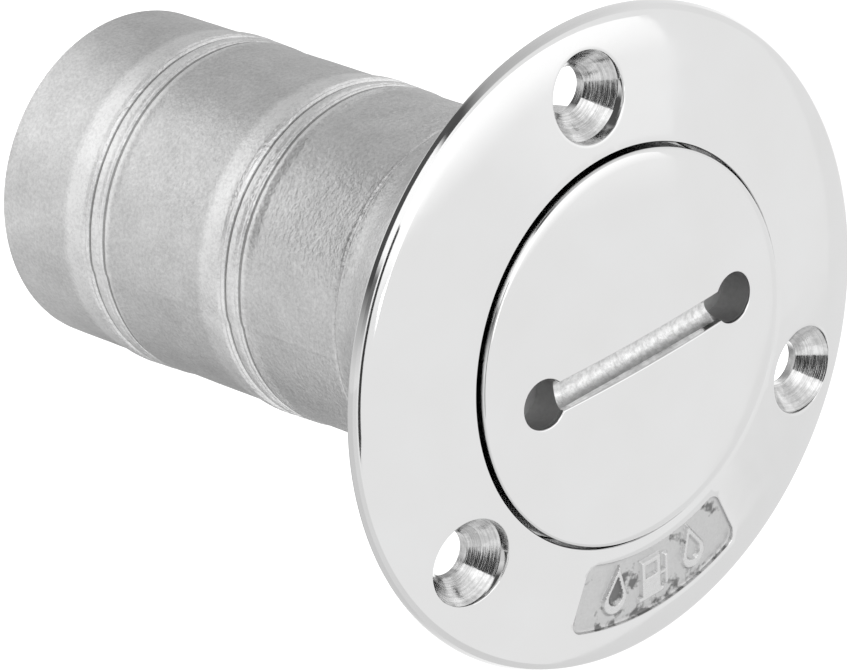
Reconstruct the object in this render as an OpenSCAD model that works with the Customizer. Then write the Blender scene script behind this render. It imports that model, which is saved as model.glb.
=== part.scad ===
// Deck fill cap for a 38 mm hose: a cast stainless deck fitting with a barbed neck, a flush screwed cap
// with an O-ring, and a keeper chain that hangs in the neck and ends in a toggle bar.
// The origin is on the axis, at the flange's underside (the deck). +Z points out of the deck.

/* [Flange] */
// Outside diameter of the flange
flange_d = 76; // [75:0.5:80]
// Height of the flange face above the deck, at the cap's recess
flange_h = 5.8; // [5.6:0.1:6.4]
// Fall of the flange face from the recess out to the rim, in degrees
face_slope = 8; // [6:0.5:9]

/* [Deck screws] */
// Pitch circle of the countersunk screw holes
screw_pcd = 60; // [59:0.5:61]
// Through diameter of a screw hole
screw_d = 5.3; // [4.3:0.1:5.5]
// Diameter of the countersink at the face
sink_d = 10.2; // [9:0.1:10.6]
// Angle between the countersink's two sides
sink_angle = 82; // [82:2:90]

/* [Hose neck] */
// Outside diameter of the plain neck
neck_d = 39.4; // [38.6:0.1:40]
// Bore of the neck
bore_d = 34; // [33.8:0.1:34.4]
// Length of the neck below the deck
neck_l = 78.6; // [78:0.2:90]
// Height of the hose ridges above the plain neck
ridge_h = 0.35; // [0.3:0.05:0.6]
// Bore of the throat ring that the toggle bar catches under
throat_d = 30; // [29.6:0.1:30.6]

/* [Cap] */
// Diameter of the cap's head
cap_d = 45.1; // [44.6:0.1:45.3]
// Rise of the dome's centre above its edge
dome_rise = 1.4; // [1:0.1:1.8]
// Width of the key slot
slot_w = 3.5; // [3:0.1:4]
// Diameter of the key hole at each end of the slot
key_hole_d = 5.8; // [5.6:0.1:6]
// Distance between the two key holes
key_span = 29.2; // [28:0.2:30]

/* [Thread] */
// Lead of the single-start right-hand thread
pitch = 3.2; // [3.1:0.1:3.4]
// Diameter of the cap's core between the threads
core_d = 38.4; // [38.2:0.1:38.6]

/* [Keeper chain] */
// Number of chain links
link_count = 10; // [6:1:10]
// Thickness of the chain wire
wire_d = 1.5; // [1.3:0.1:1.5]
// Length of the toggle bar
toggle_l = 31.8; // [31:0.1:32]

/* [Hidden] */
$fn = 96;

// Flange, recess and screw holes
recess_r = 22.95;
recess_floor_z = 1.4;
lip_chamfer = 0.25;
face_edge_r = flange_d / 2 - 1.3;
rim_widest_z = 2.0;
rim_chamfer_r = flange_d / 2 - 2;
screw_count = 3;
sink_lip_z = 4.0;
sink_cone_h = (sink_d - screw_d) / 2 / tan(sink_angle / 2);

// Legend panel: an annular pocket with raised pictograms
panel_r0 = 24.9;
panel_r1 = 33.3;
panel_half_angle = 23.5;
panel_corner_r = 1.6;
panel_depth = 0.55;
symbol_relief = 0.4;
symbol_r = 29.1;
symbol_angle = 12;
stroke_w = 0.8;
drop_r = 1.8;

// Hose neck and hub
neck_r = neck_d / 2;
bore_r = bore_d / 2;
throat_r = throat_d / 2;
throat_z0 = -19.5;
throat_z1 = -16.5;
ridge_steps_z = [-58.6, -35.1];
hub_r = 23.2;
hub_z = -11;
collar_z = -20.5;
collar_step = 0.45;
hub_fillet = 1.2;

// Cap
cap_r = cap_d / 2;
cap_edge_z = flange_h + 0.9;
cap_edge_round = 0.8;
dome_z = cap_edge_z + dome_rise;
head_under_z = 1.7;
skirt_z = -10.5;
skirt_in_r = 15.6;
cup_ceiling_z = 4.4;
slot_floor_z = 5.7;
slot_floor_r = 1.85;
key_hole_floor_z = 3.0;
rib_under_z = 1.4;
rib_half_w = key_hole_d / 2 + 1;
boss_r = 5;
stud_hole_z = 4.9;
core_r = core_d / 2;

// Thread: ridges on the cap and in the body, half a pitch apart
thread_depth = 1.4;
thread_gap = 0.3;
thread_wall_r = core_r + thread_depth + thread_gap;
crest_half_w = pitch * 0.155;
root_half_w = pitch * 0.29;
thread_steps = 40;
thread_root = 0.3;
cap_thread_z0 = -9.3;
cap_thread_turns = 2.3;
body_thread_z0 = cap_thread_z0 - pitch / 2;
body_thread_turns = 2.9;
chamber_z = -11.6;

// O-ring and its seat
o_ring_wire_r = 1;
o_ring_r = core_r + o_ring_wire_r + 0.02;
o_ring_z = head_under_z - o_ring_wire_r - 0.02;
seat_r = 22.57;
seat_foot_z = recess_floor_z - (seat_r - thread_wall_r);

// Swivel under the cap
stud_r = 1.5;
stud_head_r = 2.7;
stud_head_z0 = -3.3;
stud_head_z1 = -1.8;
stud_edge_h = 0.5;
swivel_gap = 0.06;
yoke_l = 9;
yoke_w = 6;
yoke_t = 1.4;
yoke_top_z = -0.2;
yoke_pin_r = 1;
yoke_pin_z = -9;
yoke_pin_head_r = 1.6;
yoke_pin_crown_r = 1.1;
yoke_pin_head_t = 0.7;

// Chain and toggle
wire_r = wire_d / 2;
link_gap = 0.1;
link_inner_l = 5.2;
link_inner_w = 2.4;
link_bend_r = link_inner_w / 2 + wire_r;
link_straight = link_inner_l - link_inner_w;
link_step = link_inner_l - link_gap;
link_top_z = yoke_pin_z + yoke_pin_r + link_gap / 2 - link_inner_l / 2;
chain_end_z = link_top_z - (link_count - 1) * link_step - link_inner_l / 2;
toggle_ring_r = 4.2;
toggle_wire_r = 0.7;
toggle_pivot_z = chain_end_z + link_gap + toggle_wire_r;
toggle_ring_z = toggle_pivot_z - toggle_ring_r;
toggle_bar_r = 2.2;
toggle_sag = 0.3;
toggle_bar_z = toggle_ring_z - toggle_ring_r + toggle_sag;
toggle_hole_r = 1.2;

// Points of an arc about [x, y], from angle a0 to a1
function arc(x, y, r, a0, a1, steps = 8) =
    [for (i = [0:steps]) let (a = a0 + (a1 - a0) * i / steps) [x + r * cos(a), y + r * sin(a)]];

// Height of the flange face at radius r
function face_z(r) = flange_h - (r - recess_r) * tan(face_slope);

// Outline of one group of hose ridges, ending in a step at height z: a ramp, then three ridges
function ridge_group(z) = [for (p = [
    [-8.5, 0], [-5.8, 0.9], [-5, 1], [-4.6, 0.7], [-4.25, 0.95], [-4, 0.8], [-3.65, 0],
    [-3.3, 0.8], [-3, 0.9], [-2.5, 0.85], [-2.15, 0.6], [-1.85, 0.8], [-1.6, 0.65], [-1.25, 0],
    [-0.9, 0.6], [-0.6, 0.6], [0.1, 0.3], [0.8, 0]
]) [neck_r + ridge_h * p[1], z + p[0]]];

// Smooth flare of the hub, from the collar step up to the hub's radius
function flare_r(t) = neck_r + collar_step + (hub_r - neck_r - collar_step) * t * t * (3 - 2 * t);
flare_z0 = collar_z + 0.9;
flare_outline = [for (i = [0:10]) [flare_r(i / 10), flare_z0 + (hub_z - flare_z0) * i / 10]];

// Half outline of the body casting: up the outside, over the flange, and down the inside
function body_outline() = concat(
    [[bore_r + 0.5, -neck_l]],
    arc(neck_r - 0.8, -neck_l + 0.8, 0.8, -90, 0, 4),
    ridge_group(ridge_steps_z[0]),
    ridge_group(ridge_steps_z[1]),
    [[neck_r, collar_z - 0.4], [neck_r - 0.15, collar_z], [neck_r + 0.1, collar_z + 0.4]],
    flare_outline,
    arc(hub_r + hub_fillet, -hub_fillet, hub_fillet, 180, 90, 5),
    [[rim_chamfer_r, 0], [flange_d / 2 - 0.4, 1.5], [flange_d / 2 - 0.1, 1.75]],
    [[flange_d / 2, rim_widest_z], [flange_d / 2 - 0.12, 2.7]],
    [[flange_d / 2 - 0.45, 3.25], [face_edge_r + 0.35, 3.65], [face_edge_r, face_z(face_edge_r)]],
    [[recess_r + lip_chamfer, face_z(recess_r + lip_chamfer)], [recess_r, flange_h - lip_chamfer]],
    [[recess_r, recess_floor_z], [seat_r, recess_floor_z], [thread_wall_r, seat_foot_z]],
    [[thread_wall_r, chamber_z], [throat_r + 0.6, chamber_z - 0.8 * (thread_wall_r - throat_r)]],
    [[throat_r, throat_z1], [throat_r, throat_z0], [bore_r, throat_z0 - 2]],
    [[bore_r, -neck_l + 0.5]]
);

// Half outline of the cap casting: over the dome, down the skirt and up inside the cup
dome_sphere_r = (pow(cap_r - cap_edge_round, 2) + dome_rise * dome_rise) / (2 * dome_rise);
dome_half_angle = asin((cap_r - cap_edge_round) / dome_sphere_r);
function cap_outline() = concat(
    arc(0, dome_z - dome_sphere_r, dome_sphere_r, 90, 90 - dome_half_angle, 12),
    arc(cap_r - cap_edge_round, cap_edge_z - cap_edge_round, cap_edge_round, 75, 0, 5),
    [[cap_r, head_under_z + 0.3], [cap_r - 0.3, head_under_z], [core_r, head_under_z]],
    [[core_r, skirt_z + 0.8], [core_r - 0.8, skirt_z], [skirt_in_r, skirt_z]],
    [[skirt_in_r, cup_ceiling_z - 1], [skirt_in_r - 1, cup_ceiling_z], [0, cup_ceiling_z]]
);

// Rounded outline of the legend panel. Each corner's arc turns a quarter, from angle turn on.
function panel_end_angle(r) = panel_half_angle - asin(panel_corner_r / r);
function panel_corner(r, side, turn) =
    let (a = -90 + side * panel_end_angle(r))
    arc(r * cos(a), r * sin(a), panel_corner_r, a + turn, a + turn - 90, 5);
panel_in_r = panel_r0 + panel_corner_r;
panel_out_r = panel_r1 - panel_corner_r;
function panel_outline() = concat(
    arc(0, 0, panel_r0, -90 - panel_end_angle(panel_in_r), -90 + panel_end_angle(panel_in_r), 12),
    panel_corner(panel_in_r, 1, 180),
    panel_corner(panel_out_r, 1, 90),
    arc(0, 0, panel_r1, -90 + panel_end_angle(panel_out_r), -90 - panel_end_angle(panel_out_r), 14),
    panel_corner(panel_out_r, -1, 0),
    panel_corner(panel_in_r, -1, -90)
);

// A helical ridge about Z that starts at height z0 and makes some turns. side is 1 outwards, -1 inwards.
// Its root is sunk in the wall of radius wall_r, and both ends run out over an eighth of a turn.
function ridge_end(i, n) = min(1, (i + 0.4) / (thread_steps / 8), (n - i + 0.4) / (thread_steps / 8));
module thread_ridge(wall_r, side, z0, turns) {
    n = floor(turns * thread_steps);
    points = [for (i = [0:n]) let (a = 360 * i / thread_steps, z = z0 + pitch * i / thread_steps,
                                   s = ridge_end(i, n),
                                   crest = wall_r + side * thread_depth * s,
                                   root = wall_r - side * thread_root,
                                   flank = (root_half_w - crest_half_w) / thread_depth,
                                   w0 = root_half_w + flank * thread_root,
                                   w1 = root_half_w + (crest_half_w - root_half_w) * s)
        for (p = [[root, -w0], [crest, -w1], [crest, w1], [root, w0]])
            [p[0] * cos(a), p[0] * sin(a), z + p[1]]];
    quads = [for (i = [0:n - 1], k = [0:3]) let (m = (k + 1) % 4)
        [4 * i + k, 4 * i + 4 + k, 4 * i + 4 + m, 4 * i + m]];
    ends = [[0, 1, 2, 3], [4 * n + 3, 4 * n + 2, 4 * n + 1, 4 * n]];
    faces = concat(quads, ends);
    flipped = [for (f = faces) [for (k = [len(f) - 1:-1:0]) f[k]]];
    polyhedron(points, side > 0 ? flipped : faces, convexity = 6);
}

// Layer of the flange that lies from deep to shallow below its face
module face_layer(deep, shallow) {
    rotate_extrude() polygon([
        [panel_r0 - 1, face_z(panel_r0 - 1) - deep], [panel_r1 + 1, face_z(panel_r1 + 1) - deep],
        [panel_r1 + 1, face_z(panel_r1 + 1) - shallow], [panel_r0 - 1, face_z(panel_r0 - 1) - shallow]
    ]);
}

// Pictograms, upright at [0, 0] in the plane
function drop_outline(size) = concat(arc(0, -0.5 * size, size, -210, 30, 12), [[0, 1.9 * size]]);
module drop_symbol() {
    difference() {
        polygon(drop_outline(drop_r));
        polygon(drop_outline(drop_r - stroke_w));
    }
}
module pump_symbol() {
    difference() {
        translate([-2.1, -2.6]) square([3, 5.2]);
        translate([-1.4, 0.3]) square([1.6, 1.5]);
    }
    translate([-2.6, -2.6]) square([4, 0.7]);
    translate([0.8, -0.4]) square([1.3, 0.6]);
    translate([1.5, -1.9]) square([0.6, 4]);
}
module symbols() {
    for (side = [-1, 1]) rotate(side * symbol_angle) translate([0, -symbol_r]) drop_symbol();
    translate([0, -symbol_r]) pump_symbol();
}

module screw_hole() {
    translate([0, 0, -1]) cylinder(d = screw_d, h = flange_h + 2);
    translate([0, 0, sink_lip_z - sink_cone_h]) cylinder(d1 = screw_d, d2 = sink_d, h = sink_cone_h);
    translate([0, 0, sink_lip_z]) cylinder(d = sink_d, h = flange_h);
}

module body() {
    color("silver") {
        difference() {
            rotate_extrude() polygon(body_outline());
            for (i = [0:screw_count - 1])
                rotate(90 + i * 360 / screw_count) translate([screw_pcd / 2, 0, 0]) screw_hole();
            intersection() {
                linear_extrude(flange_h + 1) polygon(panel_outline());
                face_layer(panel_depth, -1);
            }
        }
        intersection() {
            linear_extrude(flange_h + 1) symbols();
            face_layer(panel_depth + 0.2, panel_depth - symbol_relief);
        }
        thread_ridge(thread_wall_r, -1, body_thread_z0, body_thread_turns);
    }
}

// Straight slot with a hollow floor
module key_slot() {
    translate([-key_span / 2, 0, slot_floor_z]) intersection() {
        translate([0, -slot_w / 2, 0]) cube([key_span, slot_w, dome_z]);
        translate([0, 0, slot_floor_r]) rotate([0, 90, 0]) cylinder(r = slot_floor_r, h = key_span);
    }
}

module cap() {
    color("gainsboro") {
        difference() {
            union() {
                rotate_extrude() polygon(cap_outline());
                translate([-skirt_in_r - 1, -rib_half_w, rib_under_z])
                    cube([2 * skirt_in_r + 2, 2 * rib_half_w, cup_ceiling_z + 0.5 - rib_under_z]);
                cylinder(r = boss_r, h = cup_ceiling_z + 0.5);
            }
            key_slot();
            for (side = [-1, 1])
                translate([side * key_span / 2, 0, key_hole_floor_z])
                    cylinder(d = key_hole_d, h = dome_z);
            translate([0, 0, -1]) cylinder(r = stud_r, h = stud_hole_z + 1);
        }
        thread_ridge(core_r, 1, cap_thread_z0, cap_thread_turns);
    }
}

module cap_o_ring() {
    color("dimgray")
        translate([0, 0, o_ring_z]) rotate_extrude() translate([o_ring_r, 0]) circle(o_ring_wire_r);
}

// Headed stud pressed up into the cap's boss
module swivel_stud() {
    color("silver") {
        translate([0, 0, stud_head_z0]) cylinder(r1 = stud_head_r - 0.7, r2 = stud_head_r, h = stud_edge_h);
        translate([0, 0, stud_head_z0 + stud_edge_h])
            cylinder(r = stud_head_r, h = stud_head_z1 - stud_head_z0 - stud_edge_h);
        translate([0, 0, stud_head_z1]) cylinder(r = stud_r, h = stud_hole_z - 0.1 - stud_head_z1);
    }
}

// Stirrup that turns on the stud and carries the chain on its pin
module swivel_yoke() {
    color("lightgray") difference() {
        union() {
            translate([-yoke_l / 2, -yoke_w / 2, yoke_top_z - yoke_t]) cube([yoke_l, yoke_w, yoke_t]);
            for (side = [-1, 1]) translate([side * (yoke_l - yoke_t) / 2 - yoke_t / 2, 0, 0]) {
                translate([0, -yoke_w / 2, yoke_pin_z])
                    cube([yoke_t, yoke_w, yoke_top_z - 0.1 - yoke_pin_z]);
                translate([0, 0, yoke_pin_z]) rotate([0, 90, 0]) cylinder(d = yoke_w, h = yoke_t);
            }
        }
        translate([0, 0, yoke_top_z - yoke_t - 1]) cylinder(r = stud_r + swivel_gap, h = yoke_t + 2);
        translate([-yoke_l, 0, yoke_pin_z]) rotate([0, 90, 0]) cylinder(r = yoke_pin_r, h = 2 * yoke_l);
    }
}

module yoke_pin() {
    color("silver") translate([0, 0, yoke_pin_z]) rotate([0, 90, 0]) {
        translate([0, 0, -yoke_l / 2]) cylinder(r = yoke_pin_r, h = yoke_l);
        for (side = [0, 1]) mirror([0, 0, side])
            translate([0, 0, yoke_l / 2])
                cylinder(r1 = yoke_pin_head_r, r2 = yoke_pin_crown_r, h = yoke_pin_head_t);
    }
}

// Link number i, counted from the yoke: an oval of round wire, each a quarter turn from the last
module chain_link(i) {
    color("lightgray") translate([0, 0, link_top_z - (i - 1) * link_step])
        rotate([90, 0, 90 * (i % 2)]) {
            for (side = [-1, 1]) {
                translate([0, side * link_straight / 2, 0]) rotate(side > 0 ? 0 : 180)
                    rotate_extrude(angle = 180) translate([link_bend_r, 0]) circle(wire_r, $fn = 32);
                translate([side * link_bend_r, -link_straight / 2, 0])
                    rotate([-90, 0, 0]) cylinder(r = wire_r, h = link_straight, $fn = 32);
            }
        }
}

module toggle_ring() {
    color("lightgray") translate([0, 0, toggle_ring_z]) rotate([0, 90, 0])
        rotate_extrude() translate([toggle_ring_r, 0]) circle(toggle_wire_r, $fn = 32);
}

module toggle_bar() {
    color("silver") translate([0, 0, toggle_bar_z]) difference() {
        union() {
            translate([-toggle_l / 2 + toggle_bar_r, 0, 0]) rotate([0, 90, 0])
                cylinder(r = toggle_bar_r, h = toggle_l - 2 * toggle_bar_r);
            for (side = [-1, 1]) translate([side * (toggle_l / 2 - toggle_bar_r), 0, 0]) sphere(toggle_bar_r);
        }
        rotate([90, 0, 0]) cylinder(r = toggle_hole_r, h = 3 * toggle_bar_r, center = true);
    }
}

body();
cap();
cap_o_ring();
swivel_stud();
swivel_yoke();
yoke_pin();
for (i = [1:link_count]) chain_link(i);
toggle_ring();
toggle_bar();
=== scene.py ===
"""Looks of the deck fill cap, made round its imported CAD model.

The body and the cap get fine skins in place of their CAD meshes, the chain and the small parts get swept,
turned or bent ones, and every surface gets a procedural material. Sizes are in millimetres, in the CAD
model's frame.
"""
from math import cos, pi, radians, sin, tan

import bmesh
import bpy
import numpy as np
from mathutils import Matrix, Vector, noise
from mathutils.geometry import delaunay_2d_cdt


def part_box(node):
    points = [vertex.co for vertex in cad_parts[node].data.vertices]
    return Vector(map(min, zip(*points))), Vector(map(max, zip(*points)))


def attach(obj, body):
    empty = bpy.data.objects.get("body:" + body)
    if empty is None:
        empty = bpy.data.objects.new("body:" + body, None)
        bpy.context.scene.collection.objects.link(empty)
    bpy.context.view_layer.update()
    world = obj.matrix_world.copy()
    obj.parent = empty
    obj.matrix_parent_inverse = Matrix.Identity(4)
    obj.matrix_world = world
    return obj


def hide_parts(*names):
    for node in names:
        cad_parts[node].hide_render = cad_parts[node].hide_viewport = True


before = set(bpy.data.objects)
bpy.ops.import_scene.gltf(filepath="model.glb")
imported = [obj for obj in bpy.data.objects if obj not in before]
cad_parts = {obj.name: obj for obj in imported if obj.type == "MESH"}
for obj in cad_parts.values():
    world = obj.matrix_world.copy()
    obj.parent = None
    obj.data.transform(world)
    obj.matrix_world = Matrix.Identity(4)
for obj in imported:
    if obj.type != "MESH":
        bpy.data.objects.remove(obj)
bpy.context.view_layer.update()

MM = 0.001
EDGE_ANGLES = np.radians([0, 30, 60, 90])


def measured(node, corner, axis):
    """A CAD node's reach along an axis, in millimetres. corner is 0 for its lowest and 1 for its highest."""
    return round(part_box(node)[corner][axis] / MM, 2)


# Flange
flange_r = measured("body", 1, 0)
flange_h = 5.8
face_slope = radians(8)
recess_r = 22.95
recess_floor_z = 1.4
seat_r = 22.57
lip_round = 0.25
face_edge_r = flange_r - 1.3
roll_off_r = 32.8
roll_off = 0.3
rim_z = 2.0
rim_round_w = 2.4
rim_round_h = 1.76
rim_round_end = 62.7
rim_foot_round = 0.36
rim_chamfer_r = flange_r - 2
screw_ring_r = 30
screw_angles = [radians(90 + 120 * k) for k in range(3)]
screw_r = 2.65
sink_r = 5.1
sink_edge_w = 0.16
sink_lip_z = 4.0
sink_half_angle = radians(41)
sink_foot_z = sink_lip_z - (sink_r - screw_r) / tan(sink_half_angle)

# Legend panel
panel_r0 = 24.9
panel_r1 = 33.3
panel_half_angle = radians(23.5)
panel_corner_r = 1.6
panel_depth = 0.55
symbol_relief = 0.42
symbol_r = 29.1
symbol_angle = radians(12)
symbol_edge_w = 0.4
stroke_w = 0.8
drop_r = 1.8

# Boxes of the panel's pump, each as x, y, width and height
pump_case = (-2.1, -2.6, 3, 5.2)
pump_window = (-1.4, 0.3, 1.6, 1.5)
pump_foot = (-2.6, -2.6, 4, 0.7)
hose_joint = (0.8, -0.4, 1.3, 0.6)
hose_drop = (1.5, -1.9, 0.6, 4)

# Hose neck
neck_end_z = measured("body", 0, 2)
neck_r = 19.7
bore_r = 17
tip_round = 0.9
collar_z = -20.5
collar_step = 0.45
hub_r = 23.2
hub_z = -11
hub_fillet = 1.2
crack_depth = 0.22
crack_w = 0.25
seam_h = 0.04
seam_w = 0.3
seam_gap_w = 0.9
throat_r = 15
throat_z0 = -19.5
throat_z1 = -16.5
chamber_z = -11.6

# Groups of three hose ridges, each measured from the height of the step that ends it
ridge_steps_z = (-58.6, -35.1)
ridge_h = 0.35
ridge_foot = -8.5
ridge_rise = 3.2
ridge_fall_from = -0.6
ridge_fall = 1.4
ridge_slope = 0.09
ridge_grooves = (-3.65, -1.25)
groove_w = 0.34
groove_shade_w = 0.22
nick_w = 0.2
nick_gap = 0.75

# Cap
cap_r = measured("cap", 1, 0)
cap_edge_z = flange_h + 0.9
cap_edge_round = 0.45
dome_roll_off_r = 18.2
dome_roll_off = 0.07
dome_z = measured("cap", 1, 2)
head_under_z = 1.7
core_r = 19.2
skirt_z = measured("cap", 0, 2)
skirt_in_r = 15.6
ceiling_z = 4.4
rib_half_w = 3.9
rib_under_z = 1.4
boss_r = 5
rib_edge_w = 0.3
stud_r = 1.5
stud_hole_z = 4.9
slot_half_w = 1.75
slot_floor_z = 5.7
slot_floor_r = 1.85
slot_edge = 0.18
key_r = 2.9
key_x = 14.6
key_floor_z = 3.0

# Thread
pitch = 3.2
thread_depth = 1.4
thread_gap = 0.3
thread_wall_r = core_r + thread_depth + thread_gap
cap_thread_z0 = -9.3
cap_thread_turns = 2.3
body_thread_z0 = cap_thread_z0 - pitch / 2
body_thread_turns = 2.9
seat_foot_z = recess_floor_z - (seat_r - thread_wall_r)

# Half of a thread ridge's outline, from the middle of its crest to its root: the height from the middle, and
# the share of the thread's depth
ridge_half = [(0.44, 1), (0.57, 0.93), (0.86, 0.06), (0.928, 0)]

# Swivel, chain and toggle
yoke_pin_z = -9
yoke_pin_r = 1.0
yoke_pin_half = 4.5
wire_r = 0.75
link_bend_r = 1.95
link_half_straight = 1.4
toggle_ring_r = 4.2
toggle_wire_r = 0.7
toggle_bar_r = 2.2
toggle_hole_r = 1.2


# ---------------------------------------------------------------- mesh tools

def smooth(t):
    """Smooth step of t from 0 to 1."""
    t = np.clip(t, 0, 1)
    return t * t * (3 - 2 * t)


def round_angles(count):
    return np.linspace(0, 2 * pi, count, endpoint=False)


def columns(*parts):
    """Points from their coordinates, each given as one number or as one value for each point."""
    return np.column_stack(np.broadcast_arrays(*parts))


def at_height(xy, z):
    """Puts flat points at one height, or each at its own."""
    return columns(xy[:, 0], xy[:, 1], z)


def flat_grid(xs, ys):
    """Flat points in rows and columns."""
    x, y = np.meshgrid(xs, ys)
    return columns(x.ravel(), y.ravel())


def ring(radius, z, angles):
    """A loop of points about the Z axis. radius and z are numbers, or one value for each angle."""
    return columns(radius * np.cos(angles), radius * np.sin(angles), z)


def rings(outline, angles):
    """A loop about the Z axis for each [r, z] point of an outline."""
    return [ring(r, z, angles) for r, z in outline]


def arc(cx, cz, rx, rz, start, end, steps):
    """Points [r, z] of an arc of an ellipse about [cx, cz], from angle start to end in degrees."""
    return [(cx + rx * cos(a), cz + rz * sin(a)) for a in np.radians(np.linspace(start, end, steps + 1))]


def wobble(points, scale, seed):
    """Smooth noise from -1 to 1 at points, with bumps of about 1 / scale millimetres."""
    shift = Vector((seed * 7.3, seed * 3.1, seed * 5.7))
    return np.array([noise.noise(Vector(p) * scale + shift) for p in points])


def flat_circle(r, count, centre=(0, 0)):
    """Flat points of a circle."""
    return ring(r, 0, round_angles(count))[:, :2] + centre


def outline_distance(points, outline):
    """Distance of flat points to a closed outline, negative inside it."""
    best = np.full(len(points), 1e9)
    inside = np.zeros(len(points), bool)
    for a, b in zip(outline, np.roll(outline, -1, axis=0)):
        d, e = points - a, b - a
        t = np.clip(d @ e / (e @ e), 0, 1)
        best = np.minimum(best, np.linalg.norm(d - t[:, None] * e, axis=1))
        if a[1] != b[1]:
            crossed = (points[:, 1] < a[1]) != (points[:, 1] < b[1])
            inside ^= crossed & (points[:, 0] < a[0] + (points[:, 1] - a[1]) / (b[1] - a[1]) * (b[0] - a[0]))
    return np.where(inside, -best, best)


class Skin:
    """Collects the faces of one closed piece, in millimetres, each with the name of its look."""

    def __init__(self):
        self.points, self.faces, self.looks, self.count = [], [], [], 0

    def add(self, points, faces, look):
        """look is one name, or a list with one for each face."""
        self.points.append(np.asarray(points, float))
        self.faces += [[i + self.count for i in f] for f in faces]
        self.looks += look if isinstance(look, list) else [look] * len(faces)
        self.count += len(points)

    def bridge(self, loops, look, closed=True):
        """Joins each loop of points to the next one with a band of quads."""
        n = len(loops[0])
        across = range(n if closed else n - 1)
        faces = [(k * n + i, k * n + (i + 1) % n, (k + 1) * n + (i + 1) % n, (k + 1) * n + i)
                 for k in range(len(loops) - 1) for i in across]
        self.add(np.concatenate(loops), faces, look)

    def patch(self, loops, extra, place, look):
        """Fills the flat region inside the first loop and outside the others, through the extra points, and
        puts it in space with place. look may be a function of the faces' middles."""
        flat = np.concatenate([loop[:, :2] for loop in loops] + [extra])
        edges, start = [], 0
        for loop in loops:
            n = len(loop)
            edges += [(start + i, start + (i + 1) % n) for i in range(n)]
            start += n
        filled = delaunay_2d_cdt([Vector(p) for p in flat], edges, [], 1, 1e-6)
        points, faces = np.array([v[:] for v in filled[0]]), np.array(filled[2])
        middles = points[faces].mean(axis=1)
        for loop in loops[1:]:
            outside = outline_distance(middles, loop[:, :2]) > 0
            faces, middles = faces[outside], middles[outside]
        self.add(place(points), faces.tolist(), look(middles) if callable(look) else look)

    def turn(self, outline, look, count=64):
        """Turns an outline of [r, z] points about the Z axis. An end with r 0 closes to a point."""
        self.bridge(rings(outline, round_angles(count)), look)

    def tube(self, path, normals, radii, look, sides=24):
        """A closed round tube along a closed path in a plane, whose outward normals are given."""
        along = np.roll(path, -1, axis=0) - np.roll(path, 1, axis=0)
        across = np.cross(along / np.linalg.norm(along, axis=1)[:, None], normals)
        loops = [p + r * (np.outer(np.cos(a), n) + np.outer(np.sin(a), c))
                 for p, n, c, r, a in zip(path, normals, across, radii, [round_angles(sides)] * len(path))]
        self.bridge(loops + loops[:1], look)

    def move(self, matrix):
        """Moves everything collected so far."""
        turn, shift = np.array(matrix.to_3x3()), np.array(matrix.to_translation())
        self.points = [p @ turn.T + shift for p in self.points]

    def build(self, name, body, sharp=32):
        """Welds the faces into one object that rides on a body and takes the place of its CAD node."""
        mesh = bpy.data.meshes.new(name)
        mesh.from_pydata(np.concatenate(self.points) * MM, [], self.faces)
        looks = list(dict.fromkeys(self.looks))
        for look in looks:
            mesh.materials.append(LOOKS[look])
        mesh.polygons.foreach_set("material_index", [looks.index(look) for look in self.looks])
        work = bmesh.new()
        work.from_mesh(mesh)
        bmesh.ops.remove_doubles(work, verts=work.verts, dist=0.002 * MM)
        bmesh.ops.recalc_face_normals(work, faces=work.faces)
        work.to_mesh(mesh)
        work.free()
        mesh.shade_smooth()
        mesh.set_sharp_from_angle(angle=radians(sharp))
        piece = bpy.data.objects.new(name + "_skin", mesh)
        bpy.context.scene.collection.objects.link(piece)
        piece.modifiers.new("normals", "WEIGHTED_NORMAL").keep_sharp = True
        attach(piece, body)
        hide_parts(name)


# ---------------------------------------------------------------- materials

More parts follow.
